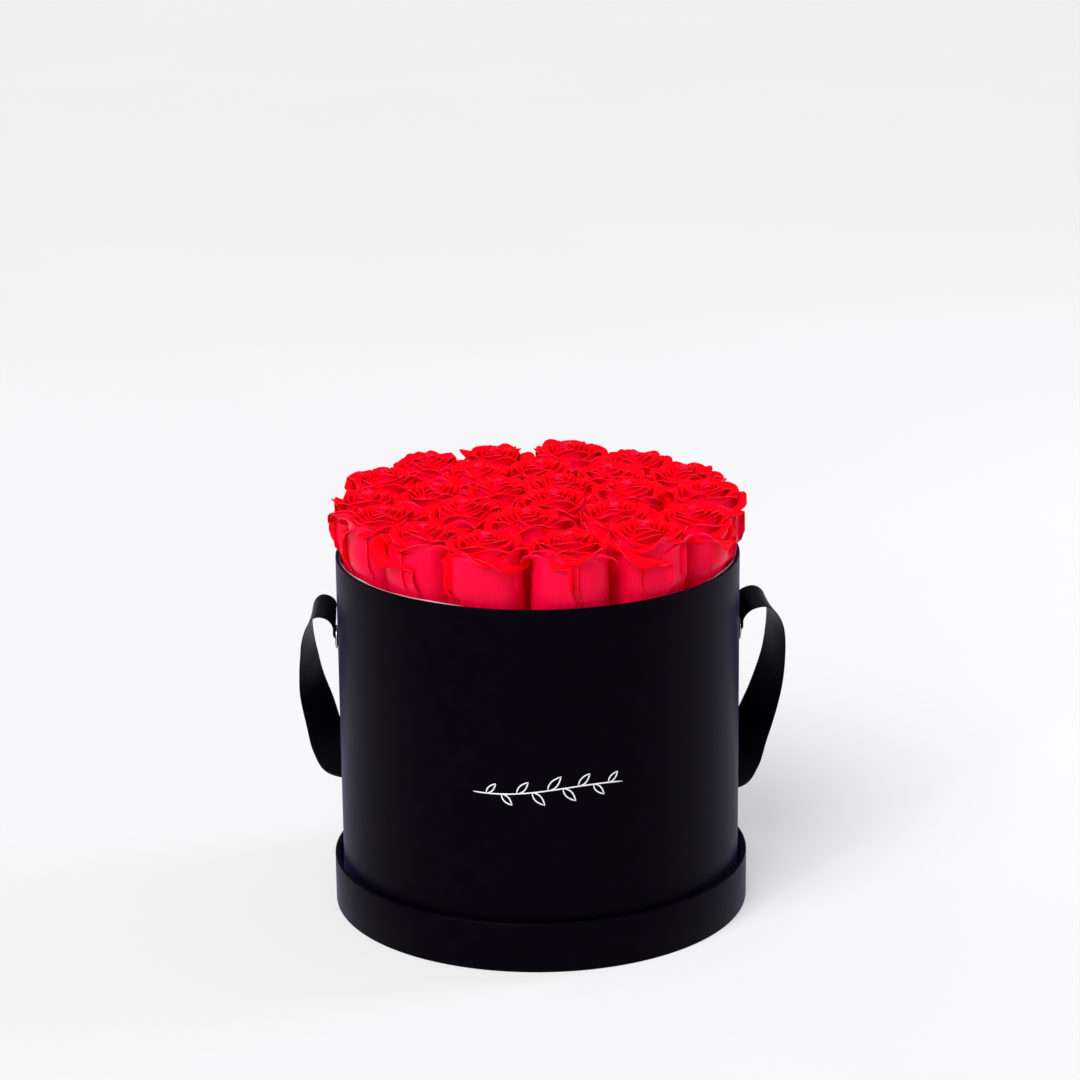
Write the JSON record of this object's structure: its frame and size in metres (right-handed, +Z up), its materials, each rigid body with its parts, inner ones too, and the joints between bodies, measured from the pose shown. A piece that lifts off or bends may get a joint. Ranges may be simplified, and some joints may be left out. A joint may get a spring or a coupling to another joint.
{
  "type": "flower box",
  "caption": "Round cardboard flower box standing in its upturned lid, with a ribbon carry strap through eyelets and red cut roses packed in floral foam.",
  "frame": {"origin": "centre of the underside of the upturned lid that the box stands in", "axes": "+Z up; -Y towards the front, where the small leaf print is; the two strap eyelets lie on the X axis"},
  "size_m": [0.2688, 0.2342, 0.239],
  "materials": {
    "lid_board": "matte",
    "box_board": "matte",
    "clear_film": "gloss",
    "floral_foam": "matte",
    "nickel": "polished",
    "satin_ribbon": "satin",
    "rose_petals": "satin"
  },
  "bodies": {
    "lid": {"lid_panel": "lid_board", "lid_rim": "lid_board"},
    "box": {"box_wall": "box_board", "box_bottom": "box_board", "film_liner": "clear_film", "floral_foam": "floral_foam", "eyelet_left": "nickel", "eyelet_right": "nickel", "washer_left": "nickel", "washer_right": "nickel", "rose_01": "rose_petals", "rose_02": "rose_petals", "rose_03": "rose_petals", "rose_04": "rose_petals", "rose_05": "rose_petals", "rose_06": "rose_petals", "rose_07": "rose_petals", "rose_08": "rose_petals", "rose_09": "rose_petals", "rose_10": "rose_petals", "rose_11": "rose_petals", "rose_12": "rose_petals", "rose_13": "rose_petals", "rose_14": "rose_petals", "rose_15": "rose_petals", "rose_16": "rose_petals", "rose_17": "rose_petals", "rose_18": "rose_petals", "rose_19": "rose_petals", "rose_20": "rose_petals", "rose_21": "rose_petals", "rose_22": "rose_petals", "rose_23": "rose_petals", "rose_24": "rose_petals", "rose_25": "rose_petals"},
    "strap": {"ribbon_strap": "satin_ribbon", "strap_knot_left": "satin_ribbon", "strap_knot_right": "satin_ribbon"}
  },
  "joints": [
    {"name": "box_lift", "type": "slide", "parent": "lid", "child": "box", "axis": [0, 0, 1], "range_m": [0, 0.06]},
    {"name": "strap_swing", "type": "hinge", "parent": "box", "child": "strap", "pos_m": [0, 0, 0.152], "axis": [1, 0, 0], "range_deg": [0, 135]}
  ]
}
